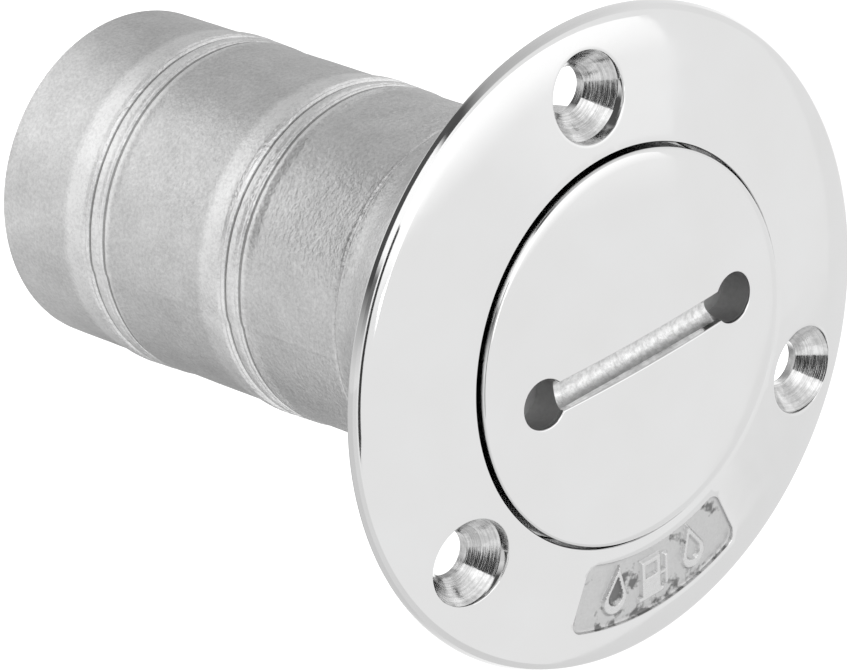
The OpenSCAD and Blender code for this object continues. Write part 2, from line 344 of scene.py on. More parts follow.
class Look:
    """A material's nodes, with short ways to add those that looks share. Textures are in millimetres."""

    def __init__(self, name, color, roughness, metallic=1.0):
        self.material = bpy.data.materials.new(name)
        self.material.use_nodes = True
        self.tree = self.material.node_tree
        self.shader = self.tree.nodes["Principled BSDF"]
        self.shader.inputs["Base Color"].default_value = (*color, 1)
        self.shader.inputs["Metallic"].default_value = metallic
        self.shader.inputs["Roughness"].default_value = roughness
        self.object = self.node("TexCoord").outputs["Object"]
        self.place = self.scaled(1, 1, 1)

    def node(self, kind, inputs=None, **settings):
        made = self.tree.nodes.new("ShaderNode" + kind)
        for key, value in settings.items():
            setattr(made, key, value)
        for key, value in (inputs or {}).items():
            if isinstance(value, bpy.types.NodeSocket):
                self.tree.links.new(value, made.inputs[key])
            else:
                made.inputs[key].default_value = value
        return made

    def scaled(self, x, y, z):
        """Object coordinates in millimetres, stretched by the given factors."""
        scale = (x / MM, y / MM, z / MM)
        return self.node("Mapping", {"Vector": self.object, "Scale": scale}).outputs["Vector"]

    def noise(self, scale, detail=3, rough=0.5, place=None):
        inputs = {"Vector": place or self.place, "Scale": scale, "Detail": detail, "Roughness": rough}
        return self.node("TexNoise", inputs).outputs["Fac"]

    def span(self, value, low, high, to_low, to_high):
        """Maps value from low..high to to_low..to_high, and holds it there."""
        inputs = {"Value": value, "From Min": low, "From Max": high, "To Min": to_low, "To Max": to_high}
        return self.node("MapRange", inputs).outputs["Result"]

    def math(self, operation, a, b=0.0):
        return self.node("Math", {0: a, 1: b}, operation=operation).outputs[0]

    def hollow_shade(self, reach, low, high, shade):
        """Painted shade: a factor from 1 on open surfaces down to shade where something is within reach
        millimetres.
        """
        open_share = self.node("AmbientOcclusion", {"Distance": reach * MM}, samples=6, only_local=True)
        return self.span(open_share.outputs["AO"], low, high, shade, 1)

    def color(self, value, dark, light):
        """Base colour from dark to light as value goes from 0 to 1."""
        ramp = self.node("ValToRGB", {"Fac": value})
        ramp.color_ramp.elements[0].color = (*dark, 1)
        ramp.color_ramp.elements[1].color = (*light, 1)
        self.tree.links.new(ramp.outputs["Color"], self.shader.inputs["Base Color"])

    def roughness(self, value):
        self.tree.links.new(value, self.shader.inputs["Roughness"])

    def bumps(self, *layers):
        """Bump layers of (height, depth in millimetres), one on top of another."""
        normal = None
        for height, depth in layers:
            inputs = {"Height": height, "Distance": depth * MM}
            if normal:
                inputs["Normal"] = normal
            normal = self.node("Bump", inputs).outputs["Normal"]
        self.tree.links.new(normal, self.shader.inputs["Normal"])


def grey(value, warm=0.0):
    return (value * (1 + warm), value, value * (1 - warm))


def polished_look():
    """Buffed stainless: nearly a mirror, with faint waves from the buffing and hairline scratches."""
    look = Look("polished_stainless", grey(0.76), 0.07)
    look.color(look.noise(0.12, 2), grey(0.74, 0.004), grey(0.78, -0.004))
    look.roughness(look.span(look.noise(0.5, 4), 0.3, 0.7, 0.05, 0.11))
    hairlines = look.noise(6, 2, 0.6, look.scaled(0.15, 1.2, 1))
    look.bumps((look.noise(0.22, 1), 0.012), (hairlines, 0.0006))
    return look.material


def cast_look(name, brightness):
    """Investment cast stainless, bead blasted: satin and hammered, with painted shade where other surfaces
    are close and a painted highlight over the hose ridges.
    """
    look = Look(name, grey(brightness), 0.38)
    tone = look.math("ADD", look.math("MULTIPLY", look.noise(0.25, 2), 0.4), look.noise(2.4, 3, 0.7))
    # Painted shade: the tone darkens where other surfaces are close, as in the grooves and the collar's
    # crack.
    tone = look.math("MULTIPLY", look.span(tone, 0.45, 0.95, 0.68, 1), look.hollow_shade(0.5, 0.4, 0.85, 0.25))
    height = look.node("SeparateXYZ", {"Vector": look.place}).outputs["Z"]
    # Painted highlight: each group of hose ridges is made lighter, up to 1.3 times.
    for step in ridge_steps_z:
        low, high = step + ridge_foot, step + ridge_fall_from
        ridge_highlight = look.math("MINIMUM", look.span(height, low - 0.3, low + 0.9, 0, 1),
                           look.span(height, high - 0.1, high + 0.4, 1, 0))
        tone = look.math("MULTIPLY", tone, look.span(ridge_highlight, 0, 1, 1, 1.3))
    look.color(look.math("MULTIPLY", tone, 0.87), grey(0.06), grey(brightness))
    look.roughness(look.span(look.noise(1.6, 3), 0.3, 0.7, 0.3, 0.42))
    look.bumps((look.noise(0.4, 2), 0.08), (look.noise(1.3, 2, 0.5, look.scaled(1, 1, 1.5)), 0.085),
               (look.noise(3.4, 2, 0.6), 0.06))
    return look.material


def turned_look():
    """Turned stainless: bright rings along the axis, with dull patches where the cutter chattered."""
    look = Look("turned_stainless", grey(0.7), 0.12)
    rings = look.noise(1, 3, 0.75, look.scaled(0.04, 0.04, 6))
    dull = look.span(look.noise(0.45, 4, 0.7), 0.42, 0.6, 0.72, 1)
    look.color(look.math("MULTIPLY", look.span(rings, 0.3, 0.6, 0.62, 1), dull), grey(0.05), grey(0.88))
    look.roughness(look.span(look.noise(0.8), 0.3, 0.7, 0.07, 0.15))
    look.bumps((rings, 0.014), (look.noise(0.9, 2), 0.014))
    return look.material


def milled_look():
    """Milled slot floor: rough satin with short cutter marks across it, and darker towards its edges as
    painted shade.
    """
    look = Look("milled_stainless", grey(0.7), 0.34)
    marks = look.noise(1, 4, 0.7, look.scaled(3.4, 1.3, 1))
    stain = look.span(look.noise(1.6, 4, 0.65), 0.36, 0.6, 0.72, 1)
    across = look.node("SeparateXYZ", {"Vector": look.place}).outputs["Y"]
    # Painted shade: the floor's colour darkens towards the slot's edges.
    sides = look.span(look.math("ABSOLUTE", across), 0.5 * slot_half_w, slot_half_w, 1, 0.55)
    look.color(look.math("MULTIPLY", stain, sides), grey(0.06), grey(0.84))
    look.roughness(look.span(marks, 0.3, 0.7, 0.26, 0.42))
    look.bumps((marks, 0.09), (look.noise(6, 2), 0.012))
    return look.material


def drilled_look():
    """Drilled key hole: dull, and dark all over as painted shade of the deep hole."""
    # Painted shade: the hole's colour is kept dark for the shade inside it.
    look = Look("drilled_shaded_stainless", grey(0.48), 0.55)
    look.color(look.noise(1.4, 3), grey(0.43), grey(0.53))
    look.roughness(look.span(look.noise(2.4, 3), 0.3, 0.7, 0.42, 0.6))
    look.bumps((look.noise(1, 2, 0.6, look.scaled(0.3, 0.3, 5)), 0.012))
    return look.material


def panel_look():
    """Cast floor of the legend panel, with painted shade in its corners and dark polishing compound in a few
    stains.
    """
    look = Look("panel_stainless", grey(0.6), 0.4)
    radius = look.node("VectorMath", {0: look.scaled(1, 1, 0)}, operation="LENGTH").outputs["Value"]
    edge = look.span(radius, panel_r1 - 3, panel_r1, 0, 0.08)
    stain = look.span(look.math("ADD", look.noise(0.3, 4, 0.62), edge), 0.57, 0.64, 1, 0.25)
    grain = look.span(look.noise(3, 3), 0.2, 0.8, 0.86, 1)
    # Painted shade: the floor darkens in its corners and round the pictograms' feet.
    look.color(look.math("MULTIPLY", look.math("MULTIPLY", stain, grain), look.hollow_shade(0.5, 0.45, 0.8, 0.3)),
               grey(0.06), grey(0.64))
    look.roughness(look.span(look.noise(1.5), 0.3, 0.7, 0.32, 0.48))
    look.bumps((look.noise(0.7, 2), 0.04), (look.noise(4, 2), 0.02))
    return look.material


def raised_look():
    """Tops of the pictograms, polished bright with the flange's face."""
    look = Look("raised_stainless", grey(0.74), 0.24)
    look.color(look.noise(2.4, 3), grey(0.62), grey(0.72))
    look.roughness(look.span(look.noise(1.5), 0.3, 0.7, 0.18, 0.32))
    look.bumps((look.noise(1.8, 2), 0.02))
    return look.material


def wire_look():
    """Drawn and tumbled stainless wire."""
    look = Look("wire_stainless", grey(0.68), 0.22)
    look.color(look.noise(0.9, 4), grey(0.56), grey(0.74))
    look.roughness(look.span(look.noise(2.2), 0.3, 0.7, 0.15, 0.3))
    look.bumps((look.noise(3, 3), 0.015), (look.noise(14, 2), 0.004))
    return look.material


def rubber_look():
    """Moulded nitrile rubber."""
    look = Look("nitrile_rubber", (0.035, 0.035, 0.037), 0.5, 0.0)
    look.color(look.noise(1.5, 3), (0.028, 0.028, 0.03), (0.045, 0.045, 0.047))
    look.roughness(look.span(look.noise(2), 0.3, 0.7, 0.42, 0.58))
    look.bumps((look.noise(9, 3), 0.008))
    return look.material


LOOKS = {
    "polished": polished_look(),
    "cast": cast_look("cast_stainless", 0.97),
    # A darker copy of the cast look for the grooves' faces: painted shade.
    "groove": cast_look("groove_shaded_stainless", 0.45),
    "turned": turned_look(),
    "milled": milled_look(),
    "drilled": drilled_look(),
    "panel": panel_look(),
    "raised": raised_look(),
    "wire": wire_look(),
    "rubber": rubber_look(),
}


# ---------------------------------------------------------------- threads

def threaded_wall(wall_r, side, z0, turns, low, high, angles):
    """Loops of a wall from low to high with a helical ridge that starts at z0 and runs out at both ends."""
    shape = [(-offset, share) for offset, share in ridge_half[::-1]] + ridge_half + [(pitch / 2, 0)]
    share_round = angles / (2 * pi)
    first = int((low - z0) // pitch) - 1
    last = int((high - z0) // pitch) + 1
    loops = []
    for turn in range(first, last + 1):
        run = turn + share_round
        reach = smooth(8 * np.minimum(run, turns - run))
        for offset, share in shape:
            z = np.clip(z0 + pitch * run + offset, low, high)
            loops.append(ring(wall_r + side * thread_depth * share * reach, z, angles))
    return loops


# ---------------------------------------------------------------- body

# The mould's halves meet at the X axis, where the columns of points are closer together
quarter_degrees = set(range(0, 1440, 5))
for seam in (0, 720):
    quarter_degrees |= {(seam + k) % 1440 for k in range(-16, 17)}
BODY_ANGLES = np.radians(np.array(sorted(quarter_degrees)) / 4)
HOLE_POINTS = 80


def face_z(r):
    """Height of the flange's face, which buffing has rolled off towards the rim."""
    rolled = np.clip((r - roll_off_r) / (face_edge_r - roll_off_r), 0, 1)
    return flange_h - (r - recess_r) * tan(face_slope) - roll_off * rolled ** 2


def on_face(drop=0.0):
    """Puts flat points on the flange's face, or below it by drop."""
    return lambda xy: at_height(xy, face_z(np.linalg.norm(xy, axis=1)) - drop)


def polar_points(r0, r1, step, avoid):
    """Flat points between two radii, about step apart, that keep clear of the holes in avoid."""
    radii = np.linspace(r0, r1, int((r1 - r0) / step) + 1)
    found = np.concatenate([flat_circle(r, int(2 * pi * r / step)) for r in radii])
    return found[np.all([distance(found) > step * 0.6 for distance in avoid], axis=0)]


def ridge_outline(t):
    """Height of a group of hose ridges as a share of its greatest height, t millimetres above its step. Each
    groove has a fine nick below it."""
    past_crest = np.clip(t - ridge_foot - ridge_rise, 0, 5)
    height = smooth((t - ridge_foot) / ridge_rise) * (1 - ridge_slope * past_crest)
    height = height * (1 - smooth((t - ridge_fall_from) / ridge_fall))
    for centre in ridge_grooves:
        height = height * (1 - 1.1 * np.exp(-((t - centre) / groove_w) ** 2))
        height = height * (1 - 0.5 * np.exp(-((t - centre + nick_gap) / nick_w) ** 2))
    return height


def neck_loop(z):
    """One loop round the neck and hub at height z, with ridges, the collar's crack and the mould's seams."""
    at = ring(neck_r, z, BODY_ANGLES)
    # The ridges of the mould's halves are a little out of line, and lower at the seams
    seam = neck_r * ((BODY_ANGLES + pi / 2) % pi - pi / 2)
    half = np.tanh(neck_r * np.sin(BODY_ANGLES) / 0.35)
    drift = 0.12 * half + 0.1 * wobble(at, 0.15, 2)
    drift = drift * smooth(min(z - neck_end_z - 1, collar_z - 2 - z) / 3)
    ridges = sum(ridge_outline(z - step) for step in ridge_steps_z)
    r = neck_r + ridge_h * ridges * (1 - 0.6 * np.exp(-((seam / seam_gap_w) ** 2)))
    r = r + seam_h * np.exp(-((seam / seam_w) ** 2))
    # The collar's small step, its crack, and the flare up to the hub
    rise = (z - collar_z - 0.9) / (hub_z - collar_z - 0.9)
    flare = collar_step * smooth((z - collar_z + 0.1) / 0.8) + (hub_r - neck_r - collar_step) * smooth(rise)
    crack = z - collar_z - 0.25 * wobble(at, 0.25, 3) - 0.1 * wobble(at, 1.1, 4)
    r = r + flare - crack_depth * np.exp(-((crack / crack_w) ** 2))
    # Unevenness of the cast wall
    r = r + 0.04 * wobble(at, 0.12, 5) + 0.015 * wobble(at, 0.6, 6) * smooth((hub_z - z) / 3)
    return ring(r, z - drift, BODY_ANGLES)


def neck_heights():
    """Heights of the neck's loops, close together where it has ridges or the collar."""
    spans = [(neck_end_z + 0.8, 0.7)]
    for step in ridge_steps_z:
        spans += [(step - 9, 0.14), (step + 1.2, 0.7)]
    spans += [(collar_z - 1.4, 0.12), (collar_z + 1.4, 0.4), (hub_z, 0)]
    return np.concatenate([np.arange(a, b - 0.05, step) for (a, step), (b, _) in zip(spans, spans[1:])])


def screw_centre(angle):
    return np.array([screw_ring_r * cos(angle), screw_ring_r * sin(angle)])


def screw_hole(skin, angle):
    """Countersunk hole. Returns its loop on the flange's face and the one on the underside."""
    centre = screw_centre(angle)
    loop = lambda r, z: at_height(flat_circle(r, HOLE_POINTS, centre), z)
    # The edge is rounded less where the cone's top is close under the face
    out = flat_circle(1, HOLE_POINTS)
    edge = np.clip(0.8 * (on_face()(centre + sink_r * out)[:, 2] - sink_lip_z), 0.05, sink_edge_w)
    rounded = []
    for a in EDGE_ANGLES:
        xy = centre + out * (sink_r + edge * (1 - sin(a)))[:, None]
        rounded.append(on_face(edge * (1 - cos(a)))(xy))
    cone = [loop(r, z) for r, z in np.linspace((sink_r, sink_lip_z), (screw_r, sink_foot_z), 9)]
    skin.bridge(rounded + [cone[0]], "polished")
    skin.bridge(cone, "turned")
    skin.bridge([cone[-1], loop(screw_r, 0.1), loop(screw_r + 0.1, 0)], "turned")
    return rounded[0], loop(screw_r + 0.1, 0)


def panel_loop(inset, drop):
    """Rounded outline of the legend panel, moved inwards by inset and below the face by drop."""
    points = []
    for r, side, turn in ((panel_r0, 1, 180), (panel_r1, 1, 90), (panel_r1, -1, 0), (panel_r0, -1, -90)):
        inner = r == panel_r0
        centre_r = r + (panel_corner_r if inner else -panel_corner_r)
        end = panel_half_angle - panel_corner_r / centre_r
        if side == (1 if inner else -1):
            sweep = np.linspace(-end, end, 40)[1:-1] * side
            moved_r = r + (inset if inner else -inset)
            points += [(moved_r * cos(a - pi / 2), moved_r * sin(a - pi / 2)) for a in sweep]
        a = side * end - pi / 2
        for turned in np.radians(np.linspace(turn, turn - 90, 9)):
            points.append((centre_r * cos(a) + (panel_corner_r - inset) * cos(a + turned),
                           centre_r * sin(a) + (panel_corner_r - inset) * sin(a + turned)))
    return on_face(drop)(np.array(points))


def drop_outline(size):
    """Outline of a drop, size being the radius of its round end."""
    return np.array(arc(0, -0.5 * size, size, size, -210, 30, 16) + [(0, 1.9 * size)])


def box_outline(x, y, width, height):
    return np.array([(x, y), (x + width, y), (x + width, y + height), (x, y + height)])


def symbol_height(xy):
    """Height of the pictograms above the panel's floor: a pump between two drops."""
    height = np.zeros(len(xy))
    for turn in (-1, 0, 1):
        a = -turn * symbol_angle
        local = xy @ np.array([[cos(a), sin(a)], [-sin(a), cos(a)]]) + (0, symbol_r)
        if turn:
            distance = np.maximum(outline_distance(local, drop_outline(drop_r)),
                                  -outline_distance(local, drop_outline(drop_r - stroke_w)))
        else:
            window = outline_distance(local, box_outline(*pump_window))
            distance = np.maximum(outline_distance(local, box_outline(*pump_case)), -window)
            for box in (pump_foot, hose_joint, hose_drop):
                distance = np.minimum(distance, outline_distance(local, box_outline(*box)))
        height = np.maximum(height, symbol_relief * smooth(0.5 - distance / symbol_edge_w))
    return height


def legend_panel(skin):
    """The pocket with its pictograms. Returns its loop on the flange's face."""
    walls = [(-0.1, 0), (-0.02, 0.03), (0.05, 0.11), (0.1, 0.3), (0.17, 0.43), (0.32, 0.52),
             (0.5, panel_depth)]
    loops = [panel_loop(inset, drop) for inset, drop in walls]
    skin.bridge(loops[:3], "polished")
    skin.bridge(loops[2:], "panel")
    low, high = loops[-1].min(axis=0), loops[-1].max(axis=0)
    step = 0.13
    grid = flat_grid(np.arange(low[0], high[0], step), np.arange(low[1], high[1], step))
    grid = grid[outline_distance(grid, loops[-1][:, :2]) < -0.12]
    floor = on_face(panel_depth)
    skin.patch([loops[-1]], grid, lambda xy: floor(xy) + np.outer(symbol_height(xy), (0, 0, 1)),
               lambda xy: np.where(symbol_height(xy) > 0.85 * symbol_relief, "raised", "panel").tolist())
    return loops[0]


def build_body():
    """The casting: neck and hub, rim, face with its holes and panel, then the recess and the bore."""
    skin = Skin()
    around = BODY_ANGLES

    tip = rings([(bore_r, neck_end_z + 0.5), (bore_r + 0.5, neck_end_z)]
                + arc(neck_r - tip_round, neck_end_z + tip_round, tip_round, tip_round, -90, -10, 8), around)
    heights = neck_heights()
    neck = [neck_loop(z) for z in heights]
    fillet = rings([(hub_r, -6)]
                   + arc(hub_r + hub_fillet, -hub_fillet, hub_fillet, hub_fillet, 180, 90, 8), around)
    skin.bridge(tip + neck[:1], "cast")
    # Faces near the grooves take the darker copy of the cast look, as painted shade.
    grooves = [step + groove for step in ridge_steps_z for groove in ridge_grooves]
    for k, middle in enumerate((heights[1:] + heights[:-1]) / 2):
        in_groove_shade = min(abs(middle - groove) for groove in grooves) < groove_shade_w
        skin.bridge(neck[k:k + 2], "groove" if in_groove_shade else "cast")
    skin.bridge(neck[-1:] + fillet, "cast")

    foot = [(rim_chamfer_r, 0), (rim_chamfer_r + 0.2, 0.14), (flange_r - 0.5, 1.38)]
    low_arc = arc(flange_r - rim_foot_round, rim_z - 0.1, rim_foot_round, rim_foot_round, -40, 0, 4)
    high_arc = arc(flange_r - rim_round_w, rim_z, rim_round_w, rim_round_h, 4, rim_round_end, 12)
    rim = rings(foot + low_arc + high_arc[:-1] + [(face_edge_r, face_z(face_edge_r))], around)
    skin.bridge(rim, "polished")

    holes = [screw_hole(skin, angle) for angle in screw_angles]
    panel = legend_panel(skin)
    near_screw = [lambda p, c=screw_centre(a): np.linalg.norm(p - c, axis=1) for a in screw_angles]
    avoid_top = [lambda p, d=d: d(p) - sink_r - 1.1 for d in near_screw]
    round_holes = [flat_circle(sink_r + out, HOLE_POINTS, screw_centre(a))
                   for a in screw_angles for out in (0.4, 0.7, 1.1)]
    avoid_top.append(lambda p: outline_distance(p, panel[:, :2]))
    avoid_under = [lambda p, d=d: d(p) - screw_r for d in near_screw]
    lip = rings([(recess_r + lip_round * (1 - sin(a)), face_z(recess_r) - lip_round * (1 - cos(a)))
                 for a in EDGE_ANGLES[1:]], around)
    lip_top = ring(recess_r + lip_round, face_z(recess_r + lip_round), around)
    skin.patch([rim[-1], lip_top, panel] + [hole[0] for hole in holes],
               np.concatenate(round_holes + [polar_points(recess_r + 1, face_edge_r - 0.7, 0.7, avoid_top)]),
               on_face(), "polished")
    skin.patch([rim[0], fillet[-1]] + [hole[1] for hole in holes],
               polar_points(hub_r + hub_fillet + 1.2, rim_chamfer_r - 0.8, 1.6, avoid_under),
               lambda xy: at_height(xy, 0), "cast")

    skin.bridge([lip_top] + lip, "polished")
    recess = rings([(recess_r, 4.2), (recess_r, recess_floor_z + 0.1), (recess_r - 0.1, recess_floor_z),
                    (seat_r, recess_floor_z), (thread_wall_r, seat_foot_z)], around)
    skin.bridge([lip[-1]] + recess, "turned")
    once_round = np.append(around, 2 * pi)
    wall = threaded_wall(thread_wall_r, -1, body_thread_z0, body_thread_turns, chamber_z, seat_foot_z,
                         once_round)
    skin.bridge(wall, "turned", closed=False)
    funnel_z = chamber_z - 0.8 * (thread_wall_r - throat_r)
    throat = [(thread_wall_r, chamber_z), (throat_r + 0.6, funnel_z), (throat_r, throat_z1),
              (throat_r, throat_z0), (bore_r, throat_z0 - 2)]
    bore = [(bore_r, z) for z in np.linspace(throat_z0 - 6, neck_end_z + 0.5, 12)]
    skin.bridge(rings(throat + bore, around), "cast")
    skin.build("body", "root")


# ---------------------------------------------------------------- cap

CAP_ANGLES = round_angles(288)
dome_rise = dome_z - cap_edge_z
dome_edge_r = cap_r - cap_edge_round
dome_sphere_r = (dome_edge_r ** 2 + dome_rise ** 2) / (2 * dome_rise)


def on_dome(drop=0.0):
    """Puts flat points on the cap's dome, or below it by drop."""
    def place(xy):
        r = np.linalg.norm(xy, axis=1)
        rolled = np.clip((r - dome_roll_off_r) / (dome_edge_r - dome_roll_off_r), 0, 1)
        sphere = dome_z - dome_sphere_r + np.sqrt(dome_sphere_r ** 2 - r ** 2)
        return at_height(xy, sphere - dome_roll_off * rolled ** 2 - drop)
    return place


def key_arc(grow, start, end, steps=40):
    """Arc of the key hole at +X, with the slot's outline grown by grow. Its angles are in degrees."""
    return np.array(arc(key_x, 0, key_r + grow, key_r + grow, start, end, steps))


def slot_corner(grow):
    """Angle in degrees at the key hole's centre, between the slot and the corner at its side's end."""
    half_w = slot_half_w + grow
    return np.degrees(np.arcsin(half_w / (key_r + grow)))


def slot_outline(grow, steps=64):
    """Outline of the key slot with its two key holes, seen from above."""
    corner = slot_corner(grow)
    right = key_arc(grow, corner - 180, 180 - corner)
    side = np.linspace(right[-1], right[-1] * (-1, 1), steps + 2)[1:-1]
    half = np.concatenate([right, side])
    return np.concatenate([half, -half])


def slot_z(y):
    """Height of the slot's hollow floor, at y from its middle."""
    return slot_floor_z + slot_floor_r - np.sqrt(slot_floor_r ** 2 - np.minimum(np.abs(y), slot_half_w) ** 2)


def key_slot(skin):
    """The slot and its key holes. Returns its loop on the dome."""
    edge_z = float(slot_z(slot_half_w))
    rounded = [on_dome(slot_edge * (1 - cos(a)))(slot_outline(slot_edge * (1 - sin(a)))) for a in EDGE_ANGLES]
    skin.bridge(rounded, "polished")
    skin.bridge([rounded[-1], at_height(slot_outline(0), edge_z)], "turned")
    corner = slot_corner(0)
    inner = key_arc(0, 180 - corner, 180 + corner, 12)
    long_side = np.linspace(inner[-1] * (1, -1), inner[0] * (-1, 1), 66)[1:-1]
    half = np.concatenate([inner[::-1], long_side])
    steps = np.arange(-key_x + key_r + 0.8, key_x - key_r - 0.8, 0.5)
    rows = np.linspace(-slot_half_w, slot_half_w, 13)[1:-1]
    skin.patch([np.concatenate([half, -half])], flat_grid(steps, rows),
               lambda xy: at_height(xy, slot_z(xy[:, 1])), "milled")
    outer = key_arc(0, corner - 180, 180 - corner)
    hole = np.concatenate([outer, inner[1:-1]])
    top = np.concatenate([np.full(len(outer), edge_z), slot_z(inner[1:-1, 1])])
    for side in (1, -1):
        foot = at_height(side * hole, key_floor_z)
        skin.bridge([at_height(side * hole, top), foot], "drilled")
        centre = np.array([[side * key_x, 0]])
        skin.patch([foot], centre, lambda xy: at_height(xy, key_floor_z), "drilled")
    return rounded[0]


def cup_height(xy):
    """Height of the cup's ceiling under the dome, with the rib behind the slot and the boss for the stud."""
    r = np.linalg.norm(xy, axis=1)
    edge = np.clip(r - (skirt_in_r - 1), 0, 1)
    ceiling = ceiling_z - 1 + np.sqrt(np.maximum(0, 1 - edge ** 2))
    rib = ceiling_z + (rib_under_z - ceiling_z) * smooth((rib_half_w - np.abs(xy[:, 1])) / rib_edge_w)
    boss = ceiling_z - ceiling_z * smooth((boss_r - r) / rib_edge_w)
    return np.minimum(ceiling, np.minimum(rib, boss))


def cup_ceiling(skin, around):
    """The cup's ceiling down to the top of its wall. Returns the wall's loop."""
    place = lambda xy: at_height(xy, cup_height(xy))
    rim = place(flat_circle(skirt_in_r, len(around)))
    hole = place(flat_circle(stud_r, 64))
    steps = np.arange(-skirt_in_r, skirt_in_r, 0.35)
    insets = (0, 0.1, 0.2, rib_edge_w)
    extra = [flat_circle(skirt_in_r - inset, len(around)) for inset in (0.15, 0.4, 0.7, 1)]
    extra += [flat_circle(boss_r - inset, 128) for inset in insets]
    extra += [columns(steps, side * (rib_half_w - inset)) for side in (-1, 1) for inset in insets]
    extra += [polar_points(2.2, 14, 1.0, [lambda p: np.abs(np.abs(p[:, 1]) - rib_half_w + 0.15)])]
    extra = np.concatenate(extra)
    extra = extra[np.linalg.norm(extra, axis=1) < skirt_in_r - 0.1]
    skin.patch([rim, hole], extra, place, "cast")
    bore = ring(stud_r, stud_hole_z, round_angles(64))
    skin.bridge([hole, bore], "turned")
    skin.patch([bore], np.zeros((1, 2)), lambda xy: at_height(xy, stud_hole_z), "turned")
    return rim


def build_cap():
    """The cap: dome with its slot, edge, threaded skirt and the cup inside it."""
    skin = Skin()
    around = CAP_ANGLES

    slot = key_slot(skin)
    dome_rim = ring(dome_edge_r, cap_edge_z - dome_roll_off, around)
    extra = polar_points(0.8, dome_edge_r - 0.8, 0.9, [lambda p: outline_distance(p, slot[:, :2])])
    skin.patch([dome_rim, slot], extra, on_dome(), "polished")
    edge_z = cap_edge_z - dome_roll_off - cap_edge_round
    edge = rings(arc(dome_edge_r, edge_z, cap_edge_round, cap_edge_round - 0.04, 72, 0, 9), around)
    skin.bridge([dome_rim] + edge, "polished")
    under = rings([(cap_r, head_under_z + 0.3), (cap_r - 0.3, head_under_z), (core_r, head_under_z)], around)
    skin.bridge([edge[-1]] + under, "turned")

    once_round = np.append(around, 2 * pi)
    wall = threaded_wall(core_r, 1, cap_thread_z0, cap_thread_turns, skirt_z + 0.8, head_under_z, once_round)
    skin.bridge(wall, "turned", closed=False)
    ceiling = cup_ceiling(skin, around)
    foot = rings([(core_r, skirt_z + 0.8), (core_r - 0.8, skirt_z), (skirt_in_r + 0.2, skirt_z),
                  (skirt_in_r, skirt_z + 0.2)], around)
    skin.bridge(foot, "turned")
    skin.bridge([foot[-1], ring(skirt_in_r, -4, around), ceiling], "cast")
    skin.build("cap", "cap")


# ---------------------------------------------------------------- seal, swivel, chain and toggle

def build_o_ring():
    """O-ring with the faint flash line that its mould leaves inside and outside."""
    skin = Skin()
    round_r = 1.0
    flash = 0.02
    outline = []
    for a in round_angles(40):
        r = round_r - flash + flash * abs(cos(a)) ** 60
        outline.append((core_r + round_r + flash + r * cos(a), head_under_z - round_r - flash + r * sin(a)))
    skin.turn(outline + outline[:1], "rubber", 240)
    skin.build("cap_o_ring", "cap", 60)


def build_stud():
    """Headed stud with a slightly domed head and a chamfered end."""
    skin = Skin()
    head_r = 2.7
    head_z = -1.8
    end_z = 4.8
    head = [(0, -3.3)] + arc(head_r - 1, -2.3, 1, 1, -90, 0, 8)
    head += [(head_r, head_z - 0.15), (head_r - 0.15, head_z)]
    shank = [(stud_r, head_z), (stud_r, end_z - 0.2), (stud_r - 0.2, end_z), (0, end_z)]
    skin.turn(head + shank, "turned")
    skin.build("swivel_stud", "cap")


def build_pin():
    """Yoke pin with peened heads, along X."""
    skin = Skin()
    peened = arc(0.9, yoke_pin_half, 0.7, 0.7, 10, 90, 7) + [(0, yoke_pin_half + 0.7)]
    half = [(yoke_pin_r, 0), (yoke_pin_r, yoke_pin_half), (1.5, yoke_pin_half)] + peened
    outline = [(r, -z) for r, z in half[:0:-1]] + half
    skin.turn(outline, "turned", 48)
    skin.move(Matrix.Translation((0, 0, yoke_pin_z)) @ Matrix.Rotation(pi / 2, 4, "Y"))
    skin.build("yoke_pin", "keeper")


def build_yoke():
    """Stirrup bent from one strip with round ends. It is laid out flat, then bent down at both sides."""
    skin = Skin()
    half_w = 3.0
    half_t = 0.7
    edge_w = 0.1
    top_z = -0.9
    bend = 1.3
    flat_half = 2.5
    bend_l = bend * pi / 2
    pin_s = flat_half + bend_l + (top_z - bend - yoke_pin_z)

    def bent(offset):
        def place(sy):
            s, y = np.abs(sy[:, 0]), sy[:, 1]
            turned = np.clip((s - flat_half) / bend, 0, pi / 2)
            down = np.maximum(0, s - flat_half - bend_l)
            x = np.minimum(s, flat_half) + (bend + offset) * np.sin(turned)
            z = top_z - bend + (bend + offset) * np.cos(turned) - down
            return columns(x * np.sign(sy[:, 0]), y, z)
        return place

    end = np.array(arc(pin_s, 0, half_w, half_w, -90, 90, 32))
    side = np.linspace(end[-1], end[-1] * (-1, 1), 90)[1:-1]
    half = np.concatenate([end, side])
    outline = np.concatenate([half, -half])
    holes = [flat_circle(r, 40, (s, 0))
             for s, r in ((-pin_s, yoke_pin_r), (0, stud_r + 0.06), (pin_s, yoke_pin_r))]
    grid = flat_grid(np.arange(-pin_s, pin_s, 0.3), np.arange(-2.7, 2.8, 0.45))
    grid = grid[np.all([outline_distance(grid, hole) > 0.2 for hole in holes], axis=0)]
    edge = outline - np.sign(outline) * edge_w
    for face in (-1, 1):
        skin.patch([edge] + holes, grid, bent(face * half_t), "wire")
    skin.bridge([bent(-half_t)(edge), bent(edge_w - half_t)(outline), bent(half_t - edge_w)(outline),
                 bent(half_t)(edge)], "wire")
    for hole in holes:
        skin.bridge([bent(-half_t)(hole), bent(half_t)(hole)], "turned")
    skin.build("swivel_yoke", "keeper")


def oval(bend_r, half_straight, steps=20):
    """Points and outward normals of an oval in the plane, its straights along the second axis."""
    points, normals = [], []
    for centre, start in ((half_straight, 0), (-half_straight, 180)):
        for a in np.radians(np.linspace(start, start + 180, steps + 1)):
            points.append((bend_r * cos(a), centre + bend_r * sin(a)))
            normals.append((cos(a), sin(a)))
        x = points[-1][0]
        for y in np.linspace(centre, -centre, 12)[1:-1]:
            points.append((x, y))
            normals.append(normals[-1])
    return np.array(points), np.array(normals)


